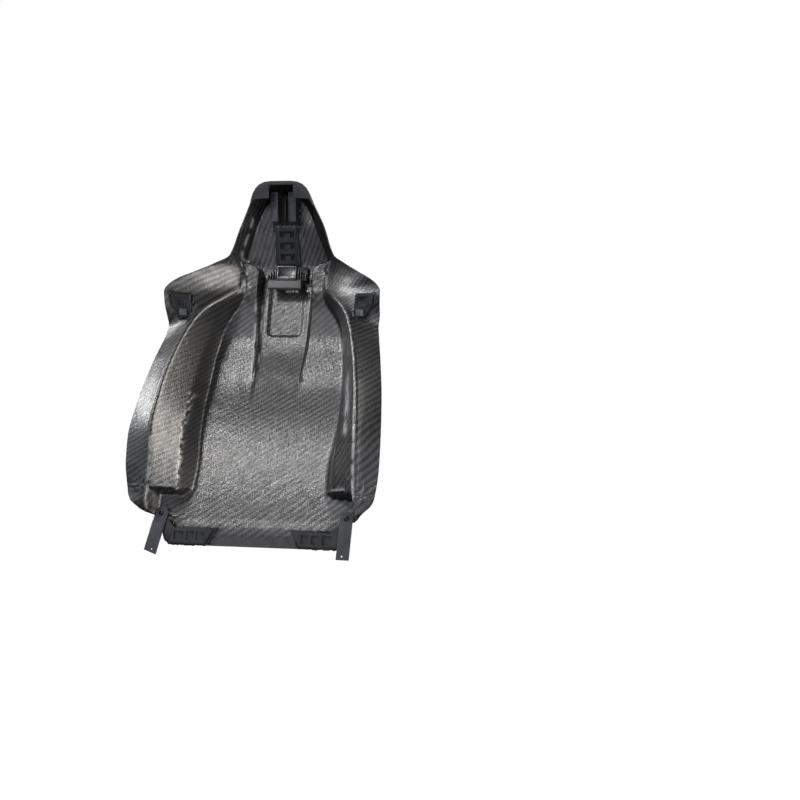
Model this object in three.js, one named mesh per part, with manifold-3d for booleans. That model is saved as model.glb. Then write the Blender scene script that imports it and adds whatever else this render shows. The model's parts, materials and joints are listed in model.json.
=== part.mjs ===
// Back shell of a sports seat, in millimetres. +X is the wearer's left as seen from the seat's inner side,
// +Y points rearwards (out through the glossy back), +Z is up. The inner, hollow side faces -Y.
import * as THREE from "three";
import { mergeVertices } from "three/addons/utils/BufferGeometryUtils.js";
import Module from "manifold-3d";

const wasm = await Module();
wasm.setup();

// ---------------------------------------------------------------- driving dimensions
const WALL = 2.6; // laminate thickness
const GAP = 0.35; // clearance between touching pieces
const STRAP_REACH = 21.97; // how far the straps hang below the shell's bottom edge
const DEPTH_CENTRE = 20.99; // from the bottom edge's plane back to the middle of the whole depth
const RIB_HEIGHT = 3; // beads along the channel's two edges
const PAD_DEPTH = 2.5; // sunk rectangle under the latch tab
const TOP = 836; // inner height of the shell at the head

// Plastic parts on the inner side: half widths, lowest and highest points, front faces and depths.
const LADDER = { half: 28, low: 676, high: 753, front: [106, 62], thick: 5 };
const WINDOW = { half: 17.5, height: 12.5, pitch: 23.4, first: 694, tongue: 8 };
const RAIL = { inner: 13, outer: 30, low: 757, high: 822, front: [34.6, 12], deep: 23.2, sheet: 2.6 };
const BASE = { half: 50, block: 24, low: 635.2, high: 672, front: 97, back: 110, plate: 4 };
const TAB = { half: 40, low: 609, high: 628, front: 81, back: 93 };
const PIN = { radius: 2.2, y: 101, z: 630.5, barrel: 4, end: 38 };
const CAP = { low: 785, thick: 4, bevel: 0.8 };
// Straps hang from rivets at (x, z) = pivot; the bracket plate, a washer and the strap stack towards -Y.
const STRAP = { width: 27, thick: 2.6, pad: 1.2, padStart: 20, pivot: [198, 65], length: 86, hole: 1.8 };
const BRACKET = { front: -15.5, sheet: 3, back: -8 };
const WASHER = { radius: 8, thick: 0.6 };
const LEAN = { left: 11.5, right: -3 }; // outward lean of the two straps at rest, degrees
const SHOULDER = { x: 211, z: 529, plate: 5, seat: 2.5 };

// ---------------------------------------------------------------- small helpers
// Smooth monotone curve through [height, value] stations.
function curve(stations) {
  const z = stations.map((s) => s[0]);
  const v = stations.map((s) => s[1]);
  const last = z.length - 1;
  const slope = (i) => (v[i + 1] - v[i]) / (z[i + 1] - z[i]);
  const tangent = (i) => {
    if (i === 0) return slope(0);
    if (i === last) return slope(last - 1);
    const a = slope(i - 1);
    const b = slope(i);
    return a * b <= 0 ? 0 : (2 * a * b) / (a + b);
  };
  return (h) => {
    if (h <= z[0]) return v[0];
    if (h >= z[last]) return v[last];
    const i = z.findLastIndex((station) => station <= h);
    const span = z[i + 1] - z[i];
    const t = (h - z[i]) / span;
    const left = v[i] + (t * t * (3 - 2 * t)) * (v[i + 1] - v[i]);
    return left + span * t * (1 - t) * ((1 - t) * tangent(i) - t * tangent(i + 1));
  };
}
const ease = (t) => {
  const c = Math.min(1, Math.max(0, t));
  return c * c * (3 - 2 * c);
};
const lerp = (a, b, t) => a + (b - a) * t;

function finish(name, colour, roughness, metalness, geometry) {
  const material = new THREE.MeshStandardMaterial({ color: colour, roughness, metalness });
  const mesh = new THREE.Mesh(geometry, material);
  mesh.name = name;
  return mesh;
}
const plastic = (name, geometry) => finish(name, 0x23262c, 0.45, 0, geometry);
const steel = (name, geometry) => finish(name, 0x8d9094, 0.3, 1, geometry);
const glue = (name, geometry) => finish(name, 0x0b0b0d, 0.35, 0, geometry);

// three.js geometry <-> boolean solid
function solid(geometry) {
  const bare = geometry.clone();
  for (const extra of ["normal", "uv"]) bare.deleteAttribute(extra);
  const merged = mergeVertices(bare, 1e-4);
  const vertProperties = merged.attributes.position.array;
  const triVerts = new Uint32Array(merged.index.array);
  return new wasm.Manifold(new wasm.Mesh({ numProp: 3, vertProperties, triVerts }));
}
function geometryOf(made) {
  const mesh = made.getMesh();
  const geometry = new THREE.BufferGeometry();
  geometry.setAttribute("position", new THREE.BufferAttribute(mesh.vertProperties, 3));
  geometry.setIndex(new THREE.BufferAttribute(mesh.triVerts, 1));
  geometry.computeVertexNormals();
  return geometry;
}

// Box between two corners, and a prism: an outline in X and Z drawn from y0 back to y1.
function box(low, high) {
  const size = high.map((h, i) => h - low[i]);
  const geometry = new THREE.BoxGeometry(...size);
  return geometry.translate(...low.map((l, i) => l + size[i] / 2));
}
function prism(outline, y0, y1, holes = [], bevel = 0) {
  const loop = (path, clockwise) => {
    const points = path.getPoints(6);
    return THREE.ShapeUtils.isClockWise(points) === clockwise ? points : points.reverse();
  };
  const shape = new THREE.Shape(loop(outline instanceof THREE.Shape ? outline : polygon(outline), false));
  shape.holes.push(...holes.map((hole) => new THREE.Path(loop(hole, true))));
  const geometry = new THREE.ExtrudeGeometry(shape, {
    depth: y1 - y0 - 2 * bevel,
    bevelEnabled: bevel > 0,
    bevelSize: bevel,
    bevelThickness: bevel,
    bevelOffset: -bevel,
    bevelSegments: 1,
  });
  return geometry.rotateX(Math.PI / 2).translate(0, y1 - bevel, 0);
}
const polygon = (points) => new THREE.Shape(points.map((p) => new THREE.Vector2(...p)));
function roundHole(x, z, radius) {
  return new THREE.Path().absarc(x, z, radius, 0, 2 * Math.PI, true);
}
// Turned piece about the Y axis; profile is [radius, y] pairs that start and end on the axis.
function turned(profile, segments = 18) {
  const points = profile.map((p) => new THREE.Vector2(...p));
  return new THREE.LatheGeometry(points, segments);
}

// ---------------------------------------------------------------- the shell's form
// Half-section at each height: the panel's edge, the crease above it, the crest of the bolster, the rim.
const floor = curve([
  [0, 6], [28, 0], [60, 6], [120, 18], [250, 49], [386, 91], [500, 117], [600, 119],
  [676, 114.5], [754, 71], [800, 56], [820, 49], [830, 42], [834, 18], [TOP, -8],
]);
const edgeX = curve([
  [0, 160], [60, 152], [108, 148], [160, 146], [255, 156], [328, 160], [419, 157], [498, 146],
  [540, 128], [575, 104], [610, 94], [650, 95], [675, 103], [747, 77], [800, 54], [TOP, 14],
]);
const crease = {
  x: curve([
    [0, 172], [57.5, 178], [60, 211], [64, 213], [104, 212], [118, 166], [159, 166], [255, 169], [328, 168],
    [419, 162], [498, 151], [540, 134], [575, 112], [610, 101], [650, 102], [675, 110], [747, 84],
    [800, 62], [TOP, 17],
  ]),
  y: curve([
    [0, 2], [28, -2], [104, -5], [118, -26], [159, -31], [255, -25], [328, 2], [419, 26],
    [498, 50], [540, 64], [575, 76], [600, 76], [640, 78], [655, 84], [675, 80], [747, 50], [800, 24],
    [TOP, -10],
  ]),
};
const crest = {
  x: curve([
    [0, 178], [57.5, 184], [60, 214], [65, 217], [110, 216], [153, 214], [242, 214], [325, 209], [413, 197],
    [507, 172], [540, 152], [575, 124], [610, 108], [650, 109], [675, 117], [747, 91], [800, 66],
    [826, 40], [TOP, 20],
  ]),
  y: curve([
    [0, -1], [57.5, -7], [60, -12], [65, -35], [70, -56], [104, -66], [153, -73], [242, -85], [325, -72],
    [413, -47], [507, -8], [540, 16], [575, 48], [610, 72], [650, 74], [675, 52], [747, 32],
    [800, 6], [TOP, -12],
  ]),
};
const rim = {
  x: curve([
    [0, 184], [8, 188], [57.5, 190], [60, 216], [66, 227], [76, 239], [88, 252], [104, 259],
    [168, 267], [215, 268], [306, 264], [399, 254], [470, 244], [490, 242], [515, 245], [561, 245],
    [576, 237], [592, 219], [620, 184], [648, 150], [673, 123], [744, 97], [785, 76], [812, 65],
    [824, 53], [831, 40], [TOP, 24],
  ]),
  y: curve([
    [0, -2], [57.5, -9], [60, -13], [65, -36], [70, -52], [86, -60], [104, -58], [168, -68], [215, -70],
    [306, -49], [399, -19], [468, 8], [490, 12], [508, 4], [535, -18], [561, -27], [590, -22],
    [620, 0], [648, 22], [673, 37], [744, 25], [785, 8.4], [TOP, -12.5],
  ]),
};
const hollow = curve([[64, 0], [110, 1], [215, 2], [399, 1.5], [490, 1], [675, 0]]);
const ribX = curve([[0, 42], [386, 51], [591, 59], [676, 54], [747, 42], [800, 28], [TOP, 8]]);
const stepZ = curve([[58, 642], [64, 655], [72, 662], [100, 674]]);
// How far the back panel stands in front of the central channel: a plateau at the neck, nothing below.
const panelRise = curve([
  [290, 0], [360, 1.2], [440, 9], [500, 13], [540, 17], [575, 23], [600, 31], [640, 34],
]);

// Depth of the central region at a distance x from the middle.
function centreY(x, z) {
  const beside = ease((x - ribX(z)) / 11);
  const below = 1 - ease((z - stepZ(x)) / 9);
  const panel = panelRise(z) * beside * below;
  const bead = Math.exp(-(((x - ribX(z) - 4) / 3.2) ** 2));
  const ribs = RIB_HEIGHT * bead * ease((z - 374) / 10) * (1 - ease((z - 560) / 40));
  const inPad = Math.min(42 - x, z - 508, 600 - z);
  const pad = PAD_DEPTH * ease(inPad / 5);
  const bowl = 0.0002 + 0.0005 * ease((z - 670) / 20) * ease((790 - z) / 30); // deeper across the head
  return floor(z) - panel - ribs + pad - bowl * x * x;
}

// Corner of a polyline rounded by a parabola that starts `reach` before it and ends `reach` after it.
function roundedCorner(before, corner, after, reach, steps) {
  const towards = (to) => {
    const length = Math.hypot(to[0] - corner[0], to[1] - corner[1]);
    const share = Math.min(0.42, reach / length);
    return [lerp(corner[0], to[0], share), lerp(corner[1], to[1], share)];
  };
  const a = towards(before);
  const b = towards(after);
  return Array.from({ length: steps + 1 }, (_, i) => {
    const t = i / steps;
    return [0, 1].map((k) => (1 - t) ** 2 * a[k] + 2 * t * (1 - t) * corner[k] + t * t * b[k]);
  });
}

// Half-section at height z, from the middle out to the rim, always with the same number of points.
function halfSection(z) {
  const edge = [edgeX(z), centreY(edgeX(z), z)];
  const c = [crease.x(z), crease.y(z)];
  const r = [crest.x(z), crest.y(z)];
  const e = [rim.x(z), rim.y(z)];
  const middle = [lerp(r[0], e[0], 0.5), lerp(r[1], e[1], 0.5) + hollow(z)];
  const rib = ribX(z);
  const inner = [lerp(rib + 9, edge[0], 0.62), 0];
  inner[1] = centreY(inner[0], z);
  const across = [0, rib * 0.3, rib * 0.7, rib - 4, rib, rib + 4, rib + 9, lerp(rib + 9, edge[0], 0.33)];
  return [
    ...across.map((x) => [x, centreY(x, z)]),
    inner,
    ...roundedCorner(inner, edge, c, 9, 2),
    ...roundedCorner(edge, c, r, 7, 2),
    ...roundedCorner(c, r, middle, 8, 2),
    middle,
    e,
  ];
}

// Heights of the sections, closer together where the form changes quickly.
const spans = [
  [0, 57.5, 3], [57.5, 70, 5], [70, 104, 3], [104, 120, 3], [120, 340, 6], [340, 500, 7],
  [500, 512, 2], [512, 560, 4], [560, 600, 3], [600, 636, 3], [636, 676, 8], [676, 780, 4], [780, 820, 2],
  [820, 830, 2], [830, TOP, 3],
];
const heights = [
  ...spans.flatMap(([low, high, n]) => Array.from({ length: n }, (_, i) => lerp(low, high, i / n))),
  TOP,
];
const sections = heights.map((z) => {
  const half = halfSection(z).map(([x, y]) => new THREE.Vector3(x, y, z));
  const other = half.slice(1).reverse().map((p) => new THREE.Vector3(-p.x, p.y, p.z));
  return [...other, ...half];
});
const COLUMNS = sections[0].length;
const ROWS = sections.length;
const clampIndex = (i, count) => Math.min(count - 1, Math.max(0, i));
const at = (row, column) => sections[clampIndex(row, ROWS)][clampIndex(column, COLUMNS)];

// Unit normal pointing out through the back.
function normalAt(row, column) {
  const across = at(row, column + 1).clone().sub(at(row, column - 1));
  const up = at(row + 1, column).clone().sub(at(row - 1, column));
  return up.cross(across).normalize();
}

// Closed solid between two sheets given as functions of (row, column).
function between(frontSheet, backSheet) {
  const positions = [];
  const index = [];
  for (const sheet of [frontSheet, backSheet])
    for (let row = 0; row < ROWS; row += 1)
      for (let column = 0; column < COLUMNS; column += 1)
        positions.push(...sheet(row, column).toArray());
  const id = (layer, row, column) => (layer * ROWS + row) * COLUMNS + column;
  const quad = (a, b, c, d) => index.push(a, b, c, a, c, d);
  for (let row = 0; row < ROWS - 1; row += 1)
    for (let column = 0; column < COLUMNS - 1; column += 1) {
      const corners = [[row, column], [row, column + 1], [row + 1, column + 1], [row + 1, column]];
      // The diagonals of the left half mirror those of the right half.
      if (column < (COLUMNS - 1) / 2) corners.push(corners.shift());
      const [a, b, c, d] = corners;
      quad(...[a, b, c, d].map((p) => id(0, ...p)));
      quad(...[a, d, c, b].map((p) => id(1, ...p)));
    }
  for (let row = 0; row < ROWS - 1; row += 1) {
    const last = COLUMNS - 1;
    quad(id(0, row, 0), id(0, row + 1, 0), id(1, row + 1, 0), id(1, row, 0));
    quad(id(0, row + 1, last), id(0, row, last), id(1, row, last), id(1, row + 1, last));
  }
  for (let column = 0; column < COLUMNS - 1; column += 1) {
    const top = ROWS - 1;
    quad(id(0, 0, column + 1), id(0, 0, column), id(1, 0, column), id(1, 0, column + 1));
    quad(id(0, top, column), id(0, top, column + 1), id(1, top, column + 1), id(1, top, column));
  }
  const geometry = new THREE.BufferGeometry();
  geometry.setAttribute("position", new THREE.Float32BufferAttribute(positions, 3));
  geometry.setIndex(index);
  geometry.computeVertexNormals();
  return geometry;
}
const inward = (distance) => (row, column) =>
  at(row, column).clone().addScaledVector(normalAt(row, column), -distance);

// Everything behind the inner surface, less a small gap: it trims the pieces glued to the shell.
const behindShell = solid(
  between(inward(GAP), (row, column) => at(row, column).clone().setY(300)),
);
const bonded = (geometry) => geometryOf(solid(geometry).subtract(behindShell));

// Depth of the inner surface at any point (x, z), read from the section at that height.
function surfaceY(x, z) {
  const section = halfSection(z);
  const distance = Math.abs(x);
  const i = Math.max(1, section.findIndex((p) => p[0] >= distance));
  const [a, b] = [section[i - 1], section[i]];
  return lerp(a[1], b[1], (distance - a[0]) / (b[0] - a[0]));
}

// ---------------------------------------------------------------- the shell and what is on its head
function carbonShell() {
  const inner = (row, column) => at(row, column).clone();
  return finish("carbon_shell", 0x35373a, 0.35, 0.1, between(inner, inward(-WALL)));
}

const joinAll = (pieces) => pieces.map(solid).reduce((sum, piece) => sum.add(piece));
const boxAt = (side, [x0, y0, z0], [x1, y1, z1]) =>
  box([Math.min(side * x0, side * x1), y0, z0], [Math.max(side * x0, side * x1), y1, z1]);

// Visor-shaped cap over the head's front edge, in its own leaning plane.
function headCap() {
  const shape = new THREE.Shape();
  shape.moveTo(-76, -2);
  shape.bezierCurveTo(-70, 32, -58, 55, -24, 55);
  shape.lineTo(24, 55);
  shape.bezierCurveTo(58, 55, 70, 32, 76, -2);
  shape.lineTo(65, 14);
  shape.lineTo(29, 16);
  shape.lineTo(29, 46);
  shape.lineTo(-29, 46);
  shape.lineTo(-29, 16);
  shape.lineTo(-65, 14);
  const cap = plastic("head_cap", prism(shape, -CAP.thick, 0, [], CAP.bevel));
  cap.position.set(0, rim.y(CAP.low) - 2 * GAP, CAP.low);
  cap.rotation.x = Math.atan2(rim.y(CAP.low) - rim.y(TOP), TOP - CAP.low);
  return cap;
}

// A frame that leans with a pair of front depths, its Z axis running up the piece, its front at y = 0.
function leaningFrame({ low, high, front }) {
  const frame = new THREE.Group();
  frame.position.set(0, front[0], low);
  frame.rotation.x = Math.atan2(front[0] - front[1], high - low);
  frame.updateMatrix();
  return frame;
}
const leaningLength = ({ low, high, front }) => Math.hypot(high - low, front[0] - front[1]);

function guideRail(side, name) {
  const { inner, outer, sheet, deep } = RAIL;
  const long = leaningLength(RAIL);
  return plastic(name, geometryOf(joinAll([
    boxAt(side, [inner, 0, 0], [outer, sheet, long]),
    boxAt(side, [inner, 0.5, 0], [inner + sheet, deep, long]),
    boxAt(side, [inner, -1.6, 0], [inner + 1.8, 1, long]),
    boxAt(side, [inner, -1.6, 0], [outer - 2, 1, 3]),
    boxAt(side, [inner + 1, 1, 30], [outer - 3, deep - 6, 32]),
  ])));
}

function guideChannel() {
  const long = leaningLength(RAIL) - 9;
  const back = RAIL.deep + GAP;
  return plastic("guide_channel", geometryOf(joinAll([
    box([-32, back, -3], [32, back + 3, long]),
    box([-3, back - 8, 4], [3, back + 1, long - 4]),
  ])));
}
function guidePad() {
  const back = RAIL.deep + 3 + 2 * GAP;
  const block = box([-29, back, 0], [29, back + 20, leaningLength(RAIL) - 12]);
  return glue("guide_adhesive", bonded(block.applyMatrix4(leaningFrame(RAIL).matrix)));
}

// Window outline with a snap tongue rising from its lower edge.
function tonguedWindow(middle, rise) {
  const { half, tongue } = WINDOW;
  const [low, high, tip] = [middle - rise, middle + rise, middle + rise * 0.45];
  return new THREE.Path([
    [-half, low], [-half, high], [half, high], [half, low],
    [tongue, low], [tongue, tip], [-tongue, tip], [-tongue, low],
  ].map((p) => new THREE.Vector2(...p)));
}
function ladderSpine() {
  const long = leaningLength(LADDER);
  const stretch = long / (LADDER.high - LADDER.low);
  const { half, thick } = LADDER;
  const strip = polygon([[-half - 1.5, 0], [half + 1.5, 0], [half - 1, long], [1 - half, long]]);
  const windows = [0, 1, 2].map((n) =>
    tonguedWindow((WINDOW.first - LADDER.low + n * WINDOW.pitch) * stretch, (WINDOW.height * stretch) / 2));
  const wall = (side) => boxAt(side, [half - 5.2, -3.5, 0], [half - 2.8, 1, long]);
  return plastic("ladder_spine", geometryOf(joinAll([prism(strip, 0, thick, windows), wall(1), wall(-1)])));
}

function alongX(radius, end) {
  const profile = [[0, -end], [radius, -end], [radius, end], [0, end]];
  return turned(profile).rotateZ(Math.PI / 2).translate(0, PIN.y, PIN.z);
}

// Bracket at the foot of the ladder: back plate, hollow centre block, two banks of fins, ears for the pin.
function spineBracket() {
  const { half, block, low, high, front, back, plate } = BASE;
  const fins = [-1, 1].flatMap((side) =>
    [0, 1, 2, 3].map((n) => {
      const x = block + 4 + n * 6;
      return boxAt(side, [x - 1.2, front + 2, low], [x + 1.2, back - 2, high - 6 - n * 5]);
    }));
  const ears = [-1, 1].map((side) => boxAt(side, [33.5, PIN.y - 5, PIN.z - 5], [37, back - 1, low + 1]));
  const body = joinAll([
    box([-half, back - plate, low], [half, back, high]),
    box([-block, front, low], [block, back - 2, high]),
    box([-half, front + 3, low], [half, back - 2, low + 2.4]),
    ...fins,
    ...ears,
  ]);
  const pocket = box([-block + 3, front - 1, low + 10], [block - 3, front + 3, high - 4]);
  return plastic("spine_bracket", geometryOf(body.subtract(joinAll([pocket])).subtract(
    solid(alongX(PIN.radius + GAP, half)))));
}
function spinePad() {
  const { half, low, high, back } = BASE;
  const block = box([3 - half, back + GAP, low + 2], [half - 3, back + 30, high - 2]);
  return glue("spine_adhesive", bonded(block));
}

// Latch tab: a deep ledge on two arms, hinged on a pin between the bracket's ears.
function latchTab() {
  const { half, low, high, front, back } = TAB;
  const ledge = prism([[-half, low], [half, low], [half, high], [-half, high]], front, back, [], 1);
  const arm = (side) => boxAt(side, [19, back - 2, low + 4], [29, PIN.y + 2, PIN.z]);
  const joined = joinAll([ledge, arm(1), arm(-1), sleeve(1), sleeve(-1)]);
  return finish("latch_tab", 0x84868a, 0.5, 0, geometryOf(joined.subtract(solid(
    alongX(PIN.radius + GAP, half)))));
}
// One half of the tab's hinge barrel; the spring sits between the two halves.
function sleeve(side) {
  const [near, far] = [15, 32];
  const profile = [[0, near], [PIN.barrel, near], [PIN.barrel, far], [0, far]];
  return turned(profile).rotateZ((-side * Math.PI) / 2).translate(0, PIN.y, PIN.z);
}
const latchPin = () => steel("latch_pin", alongX(PIN.radius, PIN.end));

// Helix around the pin with one leg on the bracket and one on the tab.
function latchSpring() {
  const turns = 5;
  const coil = 3.3;
  const points = Array.from({ length: turns * 10 + 1 }, (_, i) => {
    const angle = (i / 10) * 2 * Math.PI;
    const x = lerp(-11, 11, i / (turns * 10));
    return new THREE.Vector3(x, PIN.y + coil * Math.cos(angle), PIN.z + coil * Math.sin(angle));
  });
  const wire = new THREE.Shape().absarc(0, 0, 0.55, 0, 2 * Math.PI);
  return steel("latch_spring", new THREE.ExtrudeGeometry(wire, {
    steps: turns * 16,
    curveSegments: 3,
    extrudePath: new THREE.CatmullRomCurve3(points),
  }));
}

// ---------------------------------------------------------------- shoulder fixings
// Matrix that puts local -Y on the inner surface's normal at a point of the shoulder.
function shoulderMatrix(side) {
  const { x, z } = SHOULDER;
  const step = 6;
  const slopeX = (side * (surfaceY(x + step, z) - surfaceY(x - step, z))) / (2 * step);
  const slopeZ = (surfaceY(x, z + step) - surfaceY(x, z - step)) / (2 * step);
  const yAxis = new THREE.Vector3(-slopeX, 1, -slopeZ).normalize();
  const xAxis = new THREE.Vector3(1, 0, 0).addScaledVector(yAxis, -yAxis.x).normalize();
  const zAxis = new THREE.Vector3().crossVectors(xAxis, yAxis);
  return new THREE.Matrix4().makeBasis(xAxis, yAxis, zAxis).setPosition(side * x, surfaceY(x, z), z);
}
const shoulderOutline = (side, grow) =>
  [[22, 29], [-20, 29], [-24, -18], [0, -27], [11, -9], [20, 6]].map(([x, z]) => {
    const length = Math.hypot(x, z);
    return [side * x * (1 + grow / length), z * (1 + grow / length)];
  });
function shoulderBracket(side, name) {
  const front = -SHOULDER.seat - SHOULDER.plate;
  const plate = solid(prism(shoulderOutline(side, 0), front, -SHOULDER.seat, [], 0.8));
  const window = boxAt(side, [-14, front - 1, 4], [6, front + 2.5, 22]);
  const slot = boxAt(side, [-17, front - 1, -14], [2, -SHOULDER.seat + 1, -9]);
  const geometry = geometryOf(plate.subtract(solid(window)).subtract(solid(slot)));
  return plastic(name, bonded(geometry.applyMatrix4(shoulderMatrix(side))));
}
function shoulderPad(side, name) {
  const bead = prism(shoulderOutline(side, 4), GAP - SHOULDER.seat, 12).applyMatrix4(shoulderMatrix(side));
  return glue(name, bonded(bead));
}
// Spring clip: a folded strip that stands on the plate beside the slot.
function shoulderClip(side, name) {
  const foot = -SHOULDER.seat - SHOULDER.plate - GAP;
  const strip = [[-14, 0], [1, 0], [1, 9], [-2, 12], [-13, 12], [-13, 10.5], [-2.6, 10.5], [-0.5, 8.4],
    [-0.5, 1.5], [-14, 1.5]];
  const shape = new THREE.Shape(strip.map(([x, lift]) => new THREE.Vector2(side * x, lift)));
  const geometry = new THREE.ExtrudeGeometry(shape, { depth: 14, bevelEnabled: false });
  geometry.rotateX(Math.PI / 2).rotateX(Math.PI / 2).translate(0, foot, -6);
  return finish(name, 0x5f6267, 0.45, 0, geometry.applyMatrix4(shoulderMatrix(side)));
}

// ---------------------------------------------------------------- lower brackets and straps
// Bracket outline: a slanted inner end, and a web that curves up to the strap's pivot.
function bracketShape(side, grow) {
  const [px, pz] = STRAP.pivot;
  const shape = new THREE.Shape();
  const [g, s] = [grow, side];
  shape.moveTo(s * (84 - 1.6 * g), 34 + g);
  shape.lineTo(s * (101 - g), 3 - 0.6 * g);
  shape.lineTo(s * 176, 3 - 0.6 * g);
  shape.quadraticCurveTo(s * 187, 4, s * 190, 14);
  shape.lineTo(s * (px + 9.6), pz - 3);
  shape.absarc(s * px, pz, 10, s > 0 ? -0.3 : Math.PI + 0.3, s > 0 ? Math.PI : 0, s < 0);
  shape.quadraticCurveTo(s * (px - 15), pz - 20, s * (164 - g), 34 + g);
  return shape;
}
// The same outline without the web: what is glued to the shell.
const footOutline = (side, grow) =>
  [[84 - 1.6 * grow, 34 + grow], [101 - grow, 3 - 0.6 * grow], [176, 3 - 0.6 * grow], [176, 22],
    [166, 34 + grow]].map(([x, z]) => [side * x, z]);

function lowerBracket(side, name) {
  const { front, sheet, back } = BRACKET;
  const [px, pz] = STRAP.pivot;
  const bore = roundHole(side * px, pz, 3 + GAP);
  const web = prism(bracketShape(side, 0), front, front + sheet, [bore]);
  const foot = prism(footOutline(side, 0), front + 1, back);
  const pockets = [[104, 120], [126, 141], [148, 168]].map(([near, far]) =>
    boxAt(side, [near, front - 1, 10], [far, front + 4.5, 28]));
  return plastic(name, geometryOf(joinAll([web, foot]).subtract(joinAll(pockets))));
}
function lowerPad(side, name) {
  return glue(name, bonded(prism(footOutline(side, 4), BRACKET.back + GAP, 30)));
}

const STACK = BRACKET.front - WASHER.thick - 2 * GAP; // back face of the straps
function strap(side, name, lean) {
  const half = STRAP.width / 2;
  const end = -STRAP.length;
  const outline = new THREE.Shape();
  outline.moveTo(-half, end + (side > 0 ? 1 : 4));
  outline.lineTo(half, end + (side > 0 ? 2 : 0));
  outline.lineTo(half, 0);
  outline.absarc(0, 0, half, 0, Math.PI, false);
  const eye = roundHole(0, 0, 3 + GAP);
  const tip = () => roundHole(side * -2, end + 9, STRAP.hole);
  const blade = prism(outline, -STRAP.thick, 0, [eye, tip()]);
  const low = [[-half, end + (side > 0 ? 1 : 4)], [half, end + (side > 0 ? 2 : 0)]];
  const pad = polygon([...low, [half, -STRAP.padStart], [-half, -STRAP.padStart]]);
  const thicker = prism(pad, -STRAP.thick - STRAP.pad, -0.5, [tip()]);
  const mesh = finish(name, 0x555b63, 0.5, 0, geometryOf(joinAll([blade, thicker])));
  mesh.position.set(side * STRAP.pivot[0], STACK, STRAP.pivot[1]);
  mesh.rotation.y = THREE.MathUtils.degToRad(-side * lean);
  return mesh;
}
function strapWasher(side, name) {
  const { radius, thick } = WASHER;
  const bore = 3 + GAP;
  const ring = turned([[bore, -thick], [radius, -thick], [radius, 0], [bore, 0], [bore, -thick]], 24);
  const mesh = steel(name, ring);
  mesh.position.set(side * STRAP.pivot[0], BRACKET.front - GAP, STRAP.pivot[1]);
  return mesh;
}
// Rivet: domed head in front of the strap, shank through the stack, flat tail behind the web.
function strapRivet(side, name) {
  const front = STACK - STRAP.thick - GAP;
  const tail = BRACKET.front + BRACKET.sheet + GAP;
  const mesh = steel(name, turned([
    [0, front - 2], [2.5, front - 1.9], [5, front - 1.2], [6, front], [3, front],
    [3, tail], [5, tail], [5, tail + 1.8], [0, tail + 1.8],
  ], 20));
  mesh.position.set(side * STRAP.pivot[0], 0, STRAP.pivot[1]);
  return mesh;
}

// ---------------------------------------------------------------- assembly
const seatBack = new THREE.Group();
seatBack.position.set(0, -DEPTH_CENTRE, STRAP_REACH);

const rails = leaningFrame(RAIL);
rails.add(guideChannel(), guideRail(-1, "guide_rail_left"), guideRail(1, "guide_rail_right"));
const ladder = leaningFrame(LADDER);
ladder.add(ladderSpine());
seatBack.add(carbonShell(), headCap(), rails, guidePad(), ladder);
seatBack.add(spineBracket(), spinePad(), latchTab(), latchPin(), latchSpring());

for (const [side, hand, lean] of [[-1, "left", LEAN.left], [1, "right", LEAN.right]])
  seatBack.add(
    shoulderBracket(side, `shoulder_bracket_${hand}`),
    shoulderPad(side, `shoulder_adhesive_${hand}`),
    shoulderClip(side, `shoulder_clip_${hand}`),
    lowerBracket(side, `lower_bracket_${hand}`),
    lowerPad(side, `lower_adhesive_${hand}`),
    strapWasher(side, `strap_washer_${hand}`),
    strap(side, `strap_${hand}`, lean),
    strapRivet(side, `strap_rivet_${hand}`),
  );

const part = new THREE.Group();
part.add(seatBack);
export default part;
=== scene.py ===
"""Looks for the sports-seat back shell, in metres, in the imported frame: +Z up, -Y towards the sitter."""
import functools
import json
import math

import bmesh
import bpy
import numpy as np
from mathutils import Matrix, Vector, noise


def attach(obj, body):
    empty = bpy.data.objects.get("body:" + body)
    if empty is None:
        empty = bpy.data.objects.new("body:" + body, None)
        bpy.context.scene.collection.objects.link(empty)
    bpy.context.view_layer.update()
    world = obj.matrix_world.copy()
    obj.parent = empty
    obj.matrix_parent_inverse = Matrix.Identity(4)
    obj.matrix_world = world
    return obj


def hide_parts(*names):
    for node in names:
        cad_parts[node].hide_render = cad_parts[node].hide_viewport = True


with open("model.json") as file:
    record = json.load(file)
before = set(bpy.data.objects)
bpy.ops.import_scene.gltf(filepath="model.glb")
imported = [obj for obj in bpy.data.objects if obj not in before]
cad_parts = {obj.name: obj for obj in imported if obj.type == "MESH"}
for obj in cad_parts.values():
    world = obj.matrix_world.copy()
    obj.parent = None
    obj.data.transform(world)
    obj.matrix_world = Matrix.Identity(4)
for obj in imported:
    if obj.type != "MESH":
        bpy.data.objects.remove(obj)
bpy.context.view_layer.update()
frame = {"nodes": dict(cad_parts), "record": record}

MM = 0.001
DEPTH_CENTRE = 20.99  # the shell's plane y = 0 lies this far in front of the middle of its depth
STRAP_REACH = 21.97  # the straps hang this far below the shell's bottom edge
ORIGIN = Vector((0, -DEPTH_CENTRE, STRAP_REACH)) * MM
ROOT = "shell_assembly"


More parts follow.
